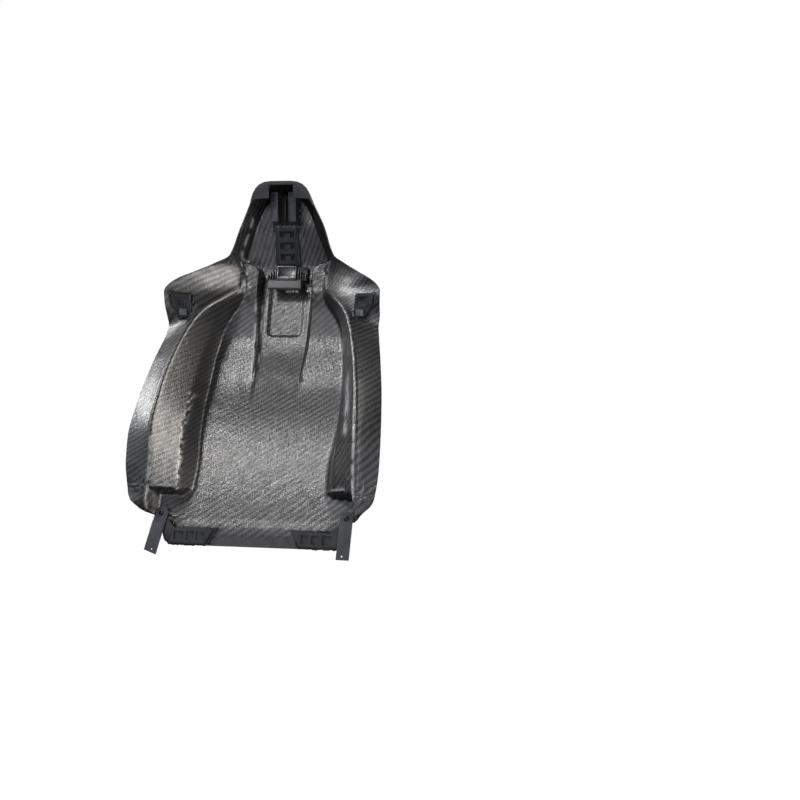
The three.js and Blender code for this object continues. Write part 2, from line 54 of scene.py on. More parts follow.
# ---------------------------------------------------------------- camera
def look():
    """Low camera in front of the shell, a little to the sitter's left, tilted with the horizon."""
    aim, distance = Vector((0, 60, 400)), 1700
    azimuth, elevation, roll = math.radians(16), math.radians(-14.25), math.radians(4.8)
    yaw, pitch = math.radians(-9.72), math.radians(-2.33)
    back = Vector((
        math.sin(azimuth) * math.cos(elevation),
        -math.cos(azimuth) * math.cos(elevation),
        math.sin(elevation),
    ))
    forward = -back
    right = forward.cross(Vector((0, 0, 1))).normalized()
    up = right.cross(forward)
    turn = Matrix.Rotation(-roll, 3, forward)
    right, up = turn @ right, turn @ up
    turn = Matrix.Rotation(yaw, 3, up)
    right, forward = turn @ right, turn @ forward
    turn = Matrix.Rotation(pitch, 3, right)
    up, forward = turn @ up, turn @ forward
    data = bpy.data.cameras.new("camera")
    data.lens, data.sensor_width = 32.85, 36
    camera = bpy.data.objects.new("camera", data)
    spot = (aim + back * distance) * MM + ORIGIN
    camera.matrix_world = Matrix((right, up, -forward)).transposed().to_4x4()
    camera.location = spot
    bpy.context.collection.objects.link(camera)
    bpy.context.scene.camera = camera


look()


# ---------------------------------------------------------------- the shell's form, in millimetres
def curve(*stations):
    """Smooth monotone curve through (height, value) stations."""
    z = [s[0] for s in stations]
    v = [s[1] for s in stations]
    last = len(z) - 1
    slopes = [(v[i + 1] - v[i]) / (z[i + 1] - z[i]) for i in range(last)]
    tangents = [slopes[0]]
    for a, b in zip(slopes, slopes[1:]):
        tangents.append(0 if a * b <= 0 else 2 * a * b / (a + b))
    tangents.append(slopes[-1])

    def at(h):
        if h <= z[0]:
            return v[0]
        if h >= z[last]:
            return v[last]
        i = max(k for k in range(last) if z[k] <= h)
        span = z[i + 1] - z[i]
        t = (h - z[i]) / span
        eased = v[i] + t * t * (3 - 2 * t) * (v[i + 1] - v[i])
        return eased + span * t * (1 - t) * ((1 - t) * tangents[i] - t * tangents[i + 1])

    return at


def ease(t):
    c = np.clip(t, 0, 1)
    return c * c * (3 - 2 * c)


def lerp(a, b, t):
    return a + (b - a) * t


def window(value, up, down):
    """0 to 1 over the span up, and back to 0 over the span down."""
    return ease((value - up[0]) / (up[1] - up[0])) * ease((down[1] - value) / (down[1] - down[0]))


def hump(value, middle, width):
    """Bell curve, 1 at its middle."""
    return np.exp(-(((value - middle) / width) ** 2))


TOP = 836  # height of the head's top edge
WALL = 2.6  # thickness of the laminate
HEAD_CLOTH = 655  # height above which a second piece of cloth is laid
HEAD_TURN = -0.55  # how far its twill is turned, in radians

# Lines that run up the inner surface, as half widths _x and depths _y at each height. From the middle
# out: the channel's floor, the rib beside it, the panel's edge where the bolster starts, the crease at
# the top of the bolster's inner wall, the crest at its front, and the rim.
floor = curve((0, 6), (28, 0), (60, 6), (120, 18), (250, 49), (386, 91), (500, 117), (600, 119),
              (676, 114.5), (754, 71), (800, 56), (820, 49), (830, 42), (834, 18), (TOP, -8))
edge_x = curve((0, 160), (60, 152), (108, 148), (160, 146), (255, 156), (328, 160), (419, 157),
               (498, 146), (540, 128), (575, 104), (610, 94), (650, 95), (675, 103), (747, 77),
               (800, 54), (TOP, 14))
crease_x = curve((0, 172), (57.5, 178), (60, 211), (64, 213), (104, 212), (118, 166), (159, 166),
                 (255, 169), (328, 168), (419, 162), (498, 151), (540, 134), (575, 112), (610, 101),
                 (650, 102), (675, 110), (747, 84), (800, 62), (TOP, 17))
crease_y = curve((0, 2), (28, -2), (104, -5), (118, -26), (159, -31), (255, -25), (328, 2), (419, 26),
                 (498, 50), (540, 64), (575, 76), (600, 76), (640, 78), (655, 84), (675, 80), (747, 50),
                 (800, 24), (TOP, -10))
crest_x = curve((0, 178), (57.5, 184), (60, 214), (65, 217), (110, 216), (153, 214), (242, 214),
                (325, 209), (413, 197), (507, 172), (540, 152), (575, 124), (610, 108), (650, 109),
                (675, 117), (747, 91), (800, 66), (826, 40), (TOP, 20))
crest_y = curve((0, -1), (57.5, -7), (60, -12), (65, -35), (70, -56), (104, -66), (153, -73),
                (242, -85), (325, -72), (413, -47), (507, -8), (540, 16), (575, 48), (610, 72),
                (650, 74), (675, 52), (747, 32), (800, 6), (TOP, -12))
rim_x = curve((0, 184), (8, 188), (57.5, 190), (60, 216), (66, 227), (76, 239), (88, 252), (104, 259),
              (168, 267), (215, 268), (306, 264), (399, 254), (470, 244), (490, 242), (515, 245),
              (561, 245), (576, 237), (592, 219), (620, 184), (648, 150), (673, 123), (744, 97),
              (785, 76), (812, 65), (824, 53), (831, 40), (TOP, 24))
rim_y = curve((0, -2), (57.5, -9), (60, -13), (65, -36), (70, -52), (86, -60), (104, -58), (168, -68),
              (215, -70), (306, -49), (399, -19), (468, 8), (490, 12), (508, 4), (535, -18),
              (561, -27), (590, -22), (620, 0), (648, 22), (673, 37), (744, 25), (785, 8.4),
              (TOP, -12.5))
# How far the wing between crest and rim bows back, the step at the foot of the head by distance from
# the middle, and how far the panel stands forward of the channel's floor.
hollow = curve((64, 0), (110, 1), (215, 2), (399, 1.5), (490, 1), (675, 0))
rib_x = curve((0, 42), (386, 51), (591, 59), (676, 54), (747, 42), (800, 28), (TOP, 8))
step_z = curve((58, 642), (64, 655), (72, 662), (100, 674))
step_heights = np.vectorize(step_z)
panel_rise = curve((290, 0), (360, 1.2), (440, 9), (500, 13), (540, 17), (575, 23), (600, 31), (640, 34))


WALL_WIDTH = 11  # width of the central channel's side walls
STEP_HEIGHT = 9  # height over which the panel steps back at the foot of the head
RIB_HEIGHT = 3

# The sunk pad in the channel: the extent of its flat floor, its rounded corners and the line round it.
PAD_HALF_WIDTH = 31
PAD_BOTTOM = 511
PAD_TOP = 620
PAD_CORNER = 12
PAD_DEPTH = 2.2
LIP_HEIGHT = 1.0


def centre_y(x, z):
    """Depth of the back panel, its ribs, the central channel and the sunk pad, x in an array."""
    wall = x - rib_x(z)
    rise = panel_rise(z) * ease(wall / WALL_WIDTH) * (1 - ease((z - step_heights(x)) / STEP_HEIGHT))
    ribs = RIB_HEIGHT * hump(wall, 4, 3.2) * window(z, (374, 384), (560, 600))
    corner = np.hypot(np.maximum(x - PAD_HALF_WIDTH, 0), max(PAD_BOTTOM - z, z - PAD_TOP, 0))
    sunk = PAD_DEPTH * ease((PAD_CORNER - corner) / 4)
    lip = LIP_HEIGHT * hump(corner, PAD_CORNER + 2, 2.2) * ease((600 - z) / 12)
    bowl = 0.0002 + 0.0005 * float(window(z, (670, 690), (760, 790)))
    return floor(z) - rise - ribs + sunk - lip - bowl * x * x


def rounded(before, corner, after, reach, steps):
    """Points of a corner replaced by a parabola."""
    def towards(to):
        length = math.hypot(to[0] - corner[0], to[1] - corner[1])
        share = min(0.42, reach / length)
        return lerp(np.array(corner, float), np.array(to, float), share)

    a, b = towards(before), towards(after)
    t = np.linspace(0, 1, steps)[:, None]
    return (1 - t) ** 2 * a + 2 * t * (1 - t) * np.array(corner, float) + t * t * b


def straight(a, b, steps):
    """Points strictly between a and b."""
    t = np.linspace(0, 1, steps + 2)[1:-1, None]
    return lerp(np.array(a), np.array(b), t)


# How far the rounding of a section's corners reaches, at the edge, the crease and the crest.
FOOT_REACH = 9
FOLD_REACH = 7
RIDGE_REACH = 9


def half_section(z):
    """Points of the inner surface from the middle out to the rim at one height."""
    edge = (edge_x(z), float(centre_y(np.array(edge_x(z)), z)))
    crease = (crease_x(z), crease_y(z))
    crest = (crest_x(z), crest_y(z))
    rim = (rim_x(z), rim_y(z))
    middle = (lerp(crest[0], rim[0], 0.5), lerp(crest[1], rim[1], 0.5) + hollow(z))
    rib = rib_x(z)
    inner_x = lerp(rib + 9, edge[0], 0.62)
    inner = (inner_x, float(centre_y(np.array(inner_x), z)))
    foot = rounded(inner, edge, crease, FOOT_REACH, 8)
    fold = rounded(edge, crease, crest, FOLD_REACH, 8)
    ridge = rounded(crease, crest, middle, RIDGE_REACH, 11)
    near, far = max(rib - 7, 1), rib + 13
    across = np.concatenate([
        np.linspace(0, near, 12, endpoint=False),
        np.linspace(near, far, 19, endpoint=False),
        np.linspace(far, foot[0][0], 22, endpoint=False),
    ])
    t = np.linspace(0, 1, 22)[1:, None]
    start, end = ridge[-1], np.array(rim, float)
    bend = 2 * np.array(middle) - (start + end) / 2
    wing = (1 - t) ** 2 * start + 2 * t * (1 - t) * bend + t * t * end
    return np.vstack([
        np.column_stack([across, centre_y(across, z)]),
        foot,
        straight(foot[-1], fold[0], 6),
        fold,
        straight(fold[-1], ridge[0], 10),
        ridge,
        wing,
    ])


# Rows of the mesh as (lowest, highest, count), closer together where the form changes quickly.
SPANS = ((0, 54, 12), (54, 74, 16), (74, 100, 8), (100, 124, 14), (124, 340, 40), (340, 400, 18),
         (400, 500, 18), (500, 520, 12), (520, 590, 18), (590, 604, 9), (604, 634, 12),
         (634, 676, 22), (676, 680, 1), (680, 780, 24), (780, 818, 12), (818, TOP, 14))
heights = np.concatenate([
    np.linspace(low, high, n, endpoint=False) for low, high, n in SPANS
] + [[TOP]])


def along_crease(x, z, at_x, width):
    """1 on a line down the shell at the distance at_x(z) from the middle, falling to 0 beside it."""
    return hump(abs(x), at_x(z), width)


def jagged(x, y, z, size, bias=0.0):
    """0 to 1 in broken patches."""
    return float(ease(0.5 + bias + 2.2 * noise.noise(Vector((x, y, z)) / size)))


STEP_LINE = 9  # the painted highlight line on the resin run at the foot of the head lies this far above the step


def resin_and_glint_lines(x, y, z):
    """Where raised runs of resin stand on the inner surface, 0 to 1; the same mask paints pale highlights
    (glints) along them.
    """
    out = abs(x)
    # Each term is a raised run of resin whose pale colour is a painted highlight, standing in for glints
    # along these lines.
    step = hump(z, float(step_heights(out)) + STEP_LINE, 2.2) * (45 < out < 108)
    flange = hump(z, 66, 3) * (180 < out < 245)
    ridge = along_crease(x, z, crest_x, 2.8)
    low_ridge = ridge * (70 < z < 250) * jagged(x, y, z, 14, 0.15)
    total = 0.9 * step * jagged(x, y, z, 7) + 0.8 * flange * jagged(x, y, z, 6)
    if x < 0:
        foot = along_crease(x, z, crease_x, 2.6) * (135 < z < 330)
        head_fold = along_crease(x, z, crease_x, 1.6) * (664 < z < 770)
        walls = along_crease(x, z, rib_x, 1.8) + along_crease(x + WALL_WIDTH, z, rib_x, 2.2)
        total += 0.5 * low_ridge + foot * jagged(x, y, z, 8, -0.1)
        total += 0.7 * head_fold * jagged(x, y, z, 20, 0.2)
        total += 0.9 * walls * window(z, (376, 396), (560, 590)) * jagged(x, y, z, 30, 0.3)
    else:
        ledge = hump(z, 121, 1.6) * (150 < x < 205)
        # Painted highlight: a glare streak down the middle of the right bolster's inner face.
        glare_streak = hump(x, lerp(crease_x(z), crest_x(z), 0.5), 6.5) * window(z, (225, 245), (355, 385))
        total += low_ridge + glare_streak * jagged(x * 2, y, z * 0.2, 7, 0.35)
        total += ledge * jagged(x, y, z, 10, 0.2)
        total += ridge * (395 < z < 530) * jagged(x, y, z, 3.5, -0.15)
    return min(1.0, float(total))


def relief(x, y, z):
    """How far the hand-laid inner surface stands proud of its true form at a point."""
    p = Vector((x, y, z))
    wave = 0.22 * noise.noise(p / 26)
    fine = 0.10 * noise.noise(p / 9 + Vector((7, 0, 0)))
    low = window(z, (98, 106), (128, 162)) * ease((abs(x) - 150) / 10)
    crumple = 1.8 * low * abs(noise.noise(Vector((x / 9, y / 7, z / 6))))
    patch = hump(x, 30, 75) * hump(z, 250, 60)
    crinkle = 0.35 * patch * noise.noise(Vector((x / 6, 3, z / 12)))
    neck = hump(abs(x), 84, 24) * hump(z, 590, 36)
    lumps = neck * (1.6 + 1.2 * noise.noise(p / 11))
    return wave + fine + crumple + crinkle + lumps


def ledge_drop(x, z):
    """Uneven run of the bolsters' lower ends, in millimetres up or down."""
    beside = window(abs(x), (140, 158), (230, 250)) * window(z, (92, 102), (124, 136))
    return 9 * beside * noise.noise(Vector((x / 16, 5, 0)))


def shell_grid():
    """Points of the true inner surface, row by row from the bottom."""
    rows = []
    for z in heights:
        half = half_section(z)
        left = half[:0:-1] * np.array([-1, 1])
        section = np.vstack([left, half])
        levels = [z + ledge_drop(x, z) for x in section[:, 0]]
        rows.append(np.column_stack([section, levels]))
    return np.array(rows)


def grid_normals(grid):
    """Unit normals that point out of the back of the shell."""
    across = np.gradient(grid, axis=1)
    up = np.gradient(grid, axis=0)
    normal = np.cross(up, across)
    return normal / np.linalg.norm(normal, axis=2, keepdims=True)


def new_mesh(name, verts, faces):
    mesh = bpy.data.meshes.new(name)
    mesh.from_pydata([tuple(v) for v in verts], [], faces)
    mesh.update()
    piece = bpy.data.objects.new(name, mesh)
    bpy.context.collection.objects.link(piece)
    return piece


INNER, OUTER, EDGE = range(3)  # material indexes
RESIN_HEIGHT = 1.1
EDGE_RELIEF = 0.3  # share of the relief that is left along the bottom and top edges
PLAIN_STRIP = 19  # the band without visible weave ends at this height


def laminate_faces(rows, cols):
    """Faces of the inner sheet, the outer sheet and the trimmed edge, and each one's material."""
    def vid(layer, r, c):
        return (layer * rows + r) * cols + c

    faces, kinds = [], []
    for r in range(rows - 1):
        for c in range(cols - 1):
            faces.append((vid(0, r, c), vid(0, r, c + 1), vid(0, r + 1, c + 1), vid(0, r + 1, c)))
            faces.append((vid(1, r + 1, c), vid(1, r + 1, c + 1), vid(1, r, c + 1), vid(1, r, c)))
            kinds += [INNER, OUTER]
    right, top = cols - 1, rows - 1
    for r in range(rows - 1):
        faces.append((vid(0, r, 0), vid(0, r + 1, 0), vid(1, r + 1, 0), vid(1, r, 0)))
        faces.append((vid(0, r + 1, right), vid(0, r, right), vid(1, r, right), vid(1, r + 1, right)))
        kinds += [EDGE, EDGE]
    for c in range(cols - 1):
        faces.append((vid(0, 0, c + 1), vid(0, 0, c), vid(1, 0, c), vid(1, 0, c + 1)))
        faces.append((vid(0, top, c), vid(0, top, c + 1), vid(1, top, c + 1), vid(1, top, c)))
        kinds += [EDGE, EDGE]
    return faces, kinds


def cloth_coordinates(grid):
    """Length across the section and length up the middle at each point, in metres."""
    rows, cols = grid.shape[:2]
    step = np.linalg.norm(np.diff(grid, axis=1), axis=2)
    u = np.concatenate([np.zeros((rows, 1)), np.cumsum(step, axis=1)], axis=1)
    u -= u[:, cols // 2][:, None]
    rise = np.linalg.norm(np.diff(grid[:, cols // 2], axis=0), axis=1)
    v = np.concatenate([[0], np.cumsum(rise)])[:, None] * np.ones((1, cols))
    return np.stack([u, v], axis=2).reshape(-1, 2) * MM


def add_layer(mesh, name, values):
    layer = mesh.uv_layers.new(name=name)
    layer.data.foreach_set("uv", values.astype(np.float32).ravel())


def build_shell():
    """Closed laminate: inner sheet, outer sheet and the trimmed edge between them."""
    true = shell_grid()
    normal = grid_normals(true)
    rows, cols = true.shape[:2]
    resin_and_glint = np.array([[resin_and_glint_lines(*p) for p in row] for row in true])
    lift = np.array([[relief(*p) for p in row] for row in true]) + RESIN_HEIGHT * resin_and_glint
    lift[[0, -1]] *= EDGE_RELIEF
    inner = true - normal * lift[:, :, None]
    outer = true + normal * WALL
    verts = np.vstack([inner.reshape(-1, 3), outer.reshape(-1, 3)]) * MM + np.array(ORIGIN)
    faces, kinds = laminate_faces(rows, cols)
    piece = new_mesh("carbon_back_shell", verts, faces)
    mesh = piece.data
    mesh.polygons.foreach_set("material_index", kinds)

    # The layer "cloth" places the weave, turned on the head, and "marks" holds the resin runs, whose pale
    # colour is a painted highlight, and the plain strip.
    loops = np.zeros(len(mesh.loops), int)
    mesh.loops.foreach_get("vertex_index", loops)
    cloth = cloth_coordinates(true)
    weave = np.vstack([cloth, cloth])[loops]
    middles = verts[np.array(faces), 2].mean(axis=1)
    on_head = np.repeat(middles > (HEAD_CLOTH + STRAP_REACH) * MM, 4)
    cosine, sine = math.cos(HEAD_TURN), math.sin(HEAD_TURN)
    weave[on_head] = weave[on_head] @ np.array([[cosine, sine], [-sine, cosine]])
    add_layer(mesh, "cloth", weave)
    marks = np.column_stack([resin_and_glint.ravel(), 1 - ease((true[:, :, 2].ravel() - PLAIN_STRIP) / 5)])
    add_layer(mesh, "marks", np.vstack([marks, marks * 0])[loops])
    mesh.shade_smooth()
    mark_edges(mesh)
    return piece


def mark_edges(mesh, angle=50):
    """Keeps creases above an angle sharp."""
    bm = bmesh.new()
    bm.from_mesh(mesh)
    for edge in bm.edges:
        edge.smooth = len(edge.link_faces) == 2 and edge.calc_face_angle(0) < math.radians(angle)
    bm.to_mesh(mesh)
    bm.free()


# ---------------------------------------------------------------- materials
class Nodes:
    """Short way to add and join shader nodes."""

    def __init__(self, tree):
        self.tree = tree

    def add(self, kind, **settings):
        node = self.tree.nodes.new(kind)
        for key, value in settings.items():
            setattr(node, key, value)
        return node

    def put(self, socket, value):
        if isinstance(value, bpy.types.NodeSocket):
            self.tree.links.new(value, socket)
        else:
            socket.default_value = value

    def math(self, operation, *values):
        node = self.add("ShaderNodeMath", operation=operation)
        for socket, value in zip(node.inputs, values):
            self.put(socket, value)
        return node.outputs[0]

    def vector(self, operation, *values, scale=None):
        """A vector, or a number for a dot product."""
        node = self.add("ShaderNodeVectorMath", operation=operation)
        for socket, value in zip(node.inputs, values):
            self.put(socket, value)
        if scale is not None:
            self.put(node.inputs["Scale"], scale)
        return node.outputs["Value" if operation == "DOT_PRODUCT" else "Vector"]

    def mix(self, factor, a, b):
        """Mix of two numbers."""
        node = self.add("ShaderNodeMix", data_type="FLOAT")
        for socket, value in zip((node.inputs[0], node.inputs[2], node.inputs[3]), (factor, a, b)):
            self.put(socket, value)
        return node.outputs[0]

    def blend(self, factor, a, b):
        """Mix of two colours."""
        node = self.add("ShaderNodeMix", data_type="RGBA")
        for socket, value in zip((node.inputs[0], node.inputs[6], node.inputs[7]), (factor, a, b)):
            self.put(socket, value)
        return node.outputs[2]

    def noise(self, vector, scale, detail=2.0, roughness=0.5):
        node = self.add("ShaderNodeTexNoise")
        self.put(node.inputs["Vector"], vector)
        node.inputs["Scale"].default_value = scale
        node.inputs["Detail"].default_value = detail
        node.inputs["Roughness"].default_value = roughness
        return node.outputs["Fac"]

    def ramp(self, value, low, high, to_low=0.0, to_high=1.0):
        node = self.add("ShaderNodeMapRange", clamp=True, interpolation_type="SMOOTHSTEP")
        for socket, v in zip(node.inputs, (value, low, high, to_low, to_high)):
            self.put(socket, v)
        return node.outputs[0]

    def position(self, scale=(1, 1, 1)):
        node = self.add("ShaderNodeTexCoord")
        mapping = self.add("ShaderNodeMapping")
        mapping.inputs["Scale"].default_value = scale
        self.put(mapping.inputs[0], node.outputs["Object"])
        return mapping.outputs[0]

    def split(self, vector):
        node = self.add("ShaderNodeSeparateXYZ")
        self.put(node.inputs[0], vector)
        return node.outputs

    def bump(self, height, distance, strength=1.0, normal=None):
        node = self.add("ShaderNodeBump")
        node.inputs["Strength"].default_value = strength
        node.inputs["Distance"].default_value = distance
        self.put(node.inputs["Height"], height)
        if normal is not None:
            self.put(node.inputs["Normal"], normal)
        return node.outputs[0]


class Graph(Nodes):
    """A material's nodes."""

    def __init__(self, name):
        self.material = bpy.data.materials.new(name)
        self.material.use_nodes = True
        super().__init__(self.material.node_tree)
        self.shader = self.tree.nodes["Principled BSDF"]

    def set(self, **values):
        for key, value in values.items():
            self.put(self.shader.inputs[key.replace("_", " ")], value)


def grey(level, tint=(1, 1, 1)):
    return (level * tint[0], level * tint[1], level * tint[2], 1)


TOW = 0.0040  # width of one bundle of fibres
TWILL_TURN = 0.16  # the cloth lies this much askew, in radians
DRIFT = 0.010  # how far the hand-laid cloth wanders


def twill(g):
    """2 by 2 twill. Returns warp on top, 0 or 1, the height of the bundle, and streaks along it."""
    uv = g.add("ShaderNodeUVMap", uv_map="cloth").outputs[0]
    wobble = g.add("ShaderNodeTexNoise")
    g.put(wobble.inputs["Vector"], uv)
    wobble.inputs["Scale"].default_value = 9
    wobble.inputs["Detail"].default_value = 1
    mapping = g.add("ShaderNodeMapping")
    mapping.inputs["Rotation"].default_value = (0, 0, TWILL_TURN)
    mapping.inputs["Scale"].default_value = (1 / TOW, 1 / TOW, 1)
    shift = g.vector("SCALE", wobble.outputs["Color"], scale=DRIFT)
    g.put(mapping.inputs[0], g.vector("ADD", uv, shift))
    x, y, _ = g.split(mapping.outputs[0])
    column, row = g.math("FLOOR", x), g.math("FLOOR", y)
    fx, fy = g.math("FRACT", x), g.math("FRACT", y)
    phase = g.math("FLOORED_MODULO", g.math("SUBTRACT", row, column), 4.0)
    warp = g.math("LESS_THAN", phase, 1.5)
    along_warp = g.math("MULTIPLY", g.math("ADD", phase, fy), 0.5)
    along_weft = g.math("MULTIPLY", g.math("ADD", g.math("SUBTRACT", 3.0, phase), fx), 0.5)
    across = g.math("SINE", g.math("MULTIPLY", g.mix(warp, fy, fx), math.pi))
    along = g.math("SINE", g.math("MULTIPLY", g.mix(warp, along_weft, along_warp), math.pi))
    crown = g.mix(g.math("POWER", along, 0.6), 0.35, 1.0)
    height = g.math("MULTIPLY", g.math("POWER", across, 0.5), crown)
    # Each bundle reads its streaks from its own stretch of the noise.
    weft_fibre = g.math("ADD", fy, g.math("MULTIPLY", row, 3.7))
    warp_fibre = g.math("ADD", fx, g.math("MULTIPLY", column, 5.3))
    lanes = g.add("ShaderNodeCombineXYZ")
    g.put(lanes.inputs[0], g.math("MULTIPLY", g.mix(warp, weft_fibre, warp_fibre), 7.0))
    g.put(lanes.inputs[1], g.math("MULTIPLY", g.mix(warp, x, y), 0.35))
    return warp, height, g.noise(lanes.outputs[0], 1.0)


def inner_carbon():
    """Bare resin side: the weave shows through an uneven film with fine pits, haze and crinkles, and the
    resin runs are painted pale as painted highlights.
    """
    g = Graph("carbon_inner")
    warp, height, streak = twill(g)
    here = g.position()
    broad = g.noise(here, 9, 3)
    mottle = g.noise(here, 60, 4, 0.6)
    pits = g.noise(here, 620, 2, 0.6)
    creep = g.noise(g.position((1, 1, 0.45)), 170, 3, 0.65)
    marks = g.add("ShaderNodeUVMap", uv_map="marks")
    resin_and_glint, plain, _ = g.split(marks.outputs[0])
    cool, brown = (1, 1, 1.02), (1.06, 1, 1)
    dark = g.blend(streak, grey(0.035), grey(0.075))
    light = g.blend(streak, grey(0.09, cool), grey(0.17, cool))
    weave = g.blend(warp, light, dark)
    hazed = g.blend(g.ramp(broad, 0.35, 0.7, 0.0, 0.35), weave, grey(0.10, (1.03, 1.0, 0.97)))
    film = g.blend(g.ramp(mottle, 0.5, 0.75, 0, 0.4), hazed, grey(0.04))
    bare = g.blend(plain, film, g.blend(mottle, grey(0.05, brown), grey(0.10, brown)))
    # Painted highlight: the resin runs get a pale grey and lose their metal, so that they read as glints
    # of light.
    final = g.blend(g.math("MULTIPLY", resin_and_glint, g.ramp(pits, 0.35, 0.55)), bare, grey(0.75))
    metal = g.math("MULTIPLY", g.math("SUBTRACT", 1.0, g.math("MAXIMUM", resin_and_glint, plain)), 0.8)
    g.set(Base_Color=final, Metallic=metal, Roughness=g.ramp(mottle, 0.3, 0.7, 0.30, 0.48))
    g.set(Coat_Weight=0.8, Coat_Roughness=0.12, Coat_IOR=1.5)
    cloth = g.bump(height, 0.00018, 0.8)
    wrinkles = g.bump(creep, 0.0012, 0.55, cloth)
    grain = g.bump(pits, 0.0005, 0.6, wrinkles)
    g.set(Normal=grain, Coat_Normal=g.bump(pits, 0.0005, 0.5, g.bump(creep, 0.0011, 0.6)))
    return g.material


def outer_carbon():
    """Clear-coated show side: a crisp weave under a deep even gloss."""
    g = Graph("carbon_outer")
    warp, height, streak = twill(g)
    dark = g.blend(streak, grey(0.02), grey(0.05))
    light = g.blend(streak, grey(0.11), grey(0.22))
    g.set(Base_Color=g.blend(warp, light, dark), Metallic=0.8, Roughness=g.mix(warp, 0.28, 0.38))
    g.set(Coat_Weight=1.0, Coat_Roughness=0.03, Coat_IOR=1.5)
    g.set(Normal=g.bump(height, 0.0002, 0.6))
    g.set(Coat_Normal=g.bump(g.noise(g.position(), 55, 2), 0.0004, 0.15))
    return g.material


def trimmed_edge():
    """Cut plies, rough and nearly black."""
    g = Graph("carbon_trimmed_edge")
    plies = g.noise(g.position(), 900, 3)
    g.set(Base_Color=g.blend(plies, grey(0.012), grey(0.10)))
    g.set(Roughness=g.ramp(plies, 0.3, 0.7, 0.35, 0.65), Normal=g.bump(plies, 0.0003, 0.6))
    return g.material


def moulded_plastic(name, level, tint, roughness, worn=0.35):
    """Grained plastic with scuffs and dust."""
    g = Graph(name)
    here = g.position()
    grain = g.noise(here, 1500, 2)
    cloud = g.noise(here, 45, 4, 0.6)
    scuff = g.noise(g.position((0.35, 1, 1.6)), 260, 4, 0.7)
    base = g.blend(cloud, grey(level * 0.72, tint), grey(level * 1.3, tint))
    base = g.blend(g.ramp(scuff, 0.58, 0.74, 0, worn), base, grey(level * 2.6, tint))
    g.set(Base_Color=base, Roughness=g.ramp(cloud, 0.3, 0.7, roughness - 0.08, roughness + 0.1))
    g.set(Specular_IOR_Level=0.5, Normal=g.bump(grain, 0.00012, 0.5, g.bump(scuff, 0.0002, 0.3)))
    return g.material


def black_glue():
    """Shiny lumps with a few pits."""
    g = Graph("glue_black")
    here = g.position()
    lumps = g.noise(here, 130, 3, 0.6)
    pits = g.noise(here, 700, 2)
    g.set(Base_Color=g.blend(lumps, grey(0.004), grey(0.018)))
    g.set(Roughness=g.ramp(pits, 0.3, 0.7, 0.10, 0.32))
    g.set(Specular_IOR_Level=0.6, Normal=g.bump(lumps, 0.0016, 0.6, g.bump(pits, 0.0003, 0.3)))
    return g.material


def blackened_steel():
    """Dark oxide over brushed metal."""
    g = Graph("steel_blackened")
    brushed = g.noise(g.position((8, 8, 0.6)), 300, 3)
    cloud = g.noise(g.position(), 160, 3)
    g.set(Base_Color=g.blend(cloud, grey(0.03), grey(0.07)), Metallic=1.0)
    g.set(Roughness=g.ramp(cloud, 0.3, 0.7, 0.22, 0.42), Normal=g.bump(brushed, 0.0001, 0.4))
    return g.material


COOL = (0.93, 0.97, 1.12)

# The plastics give their lightness, tint and roughness, and some how worn they are.
M = {
    "inner": inner_carbon(),
    "outer": outer_carbon(),
    "edge": trimmed_edge(),
    "dark": moulded_plastic("plastic_dark", 0.026, COOL, 0.42),
    "cap": moulded_plastic("plastic_cap", 0.045, COOL, 0.40),
    # Near-black, darker than the other plastics: the guide channel, and the sheet of painted shade behind
    # the ladder.
    "slot": moulded_plastic("plastic_slot", 0.005, COOL, 0.62),
    "rail": moulded_plastic("plastic_rail", 0.05, COOL, 0.30),
    "bracket": moulded_plastic("plastic_bracket", 0.022, COOL, 0.27, 0.6),
    "grey": moulded_plastic("plastic_grey", 0.16, (1, 1, 1.03), 0.45),
    "clip": moulded_plastic("plastic_clip", 0.09, COOL, 0.45),
    "slate": moulded_plastic("plastic_slate", 0.06, COOL, 0.42),
    "glue": black_glue(),
    "black_steel": blackened_steel(),
}


# ---------------------------------------------------------------- pieces
WELD = 2e-5  # points nearer than this are one point


def settle(piece, slot, body, *nodes):
    """Gives a piece its body and hides the CAD nodes that it stands for; the slot is not used."""
    if nodes:
        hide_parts(*nodes)
    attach(piece, body)
    return piece


def moulded(node, material, width, body=ROOT, sharp=28):
    """A CAD node's solid with its facets joined up and its edges rounded as moulded."""
    source = frame["nodes"][node]
    bm = bmesh.new()
    bm.from_mesh(source.data)
    bmesh.ops.remove_doubles(bm, verts=bm.verts, dist=WELD)
    bmesh.ops.dissolve_limit(bm, angle_limit=math.radians(2), verts=bm.verts, edges=bm.edges)
    limit = math.radians(sharp)
    edges = [e for e in bm.edges if len(e.link_faces) == 2 and abs(e.calc_face_angle(0)) > limit]
    bmesh.ops.bevel(bm, geom=edges, offset=width * MM, segments=2, profile=0.6,
                    affect="EDGES", clamp_overlap=True)
    mesh = bpy.data.meshes.new(node + "_moulded")
    bm.to_mesh(mesh)
    bm.free()
    piece = bpy.data.objects.new(node + "_moulded", mesh)
    bpy.context.collection.objects.link(piece)
    mesh.materials.append(M[material])
    mesh.shade_smooth()
    mark_edges(mesh, angle=40)
    slot = next(s["material_slot"] for s in frame["record"]["subparts"] if s["node"] == node)
    return settle(piece, slot, body, node)


@functools.lru_cache
def section_at(z):
    return half_section(z)


def surface_y(x, z):
    """Depth of the inner surface at a point of it."""
    section = section_at(round(z))
    return float(np.interp(abs(x), section[:, 0], section[:, 1]))


def grown(points, gap):
    """Outline pushed out from its middle by a gap."""
    points = [np.array(p, float) for p in points]
    middle = np.mean(points, axis=0)
    return [p + gap * (p - middle) / np.linalg.norm(p - middle) for p in points]


BEAD_STEP = 2.2  # distance between the rings of a glue bead
RING = 8  # points in a ring


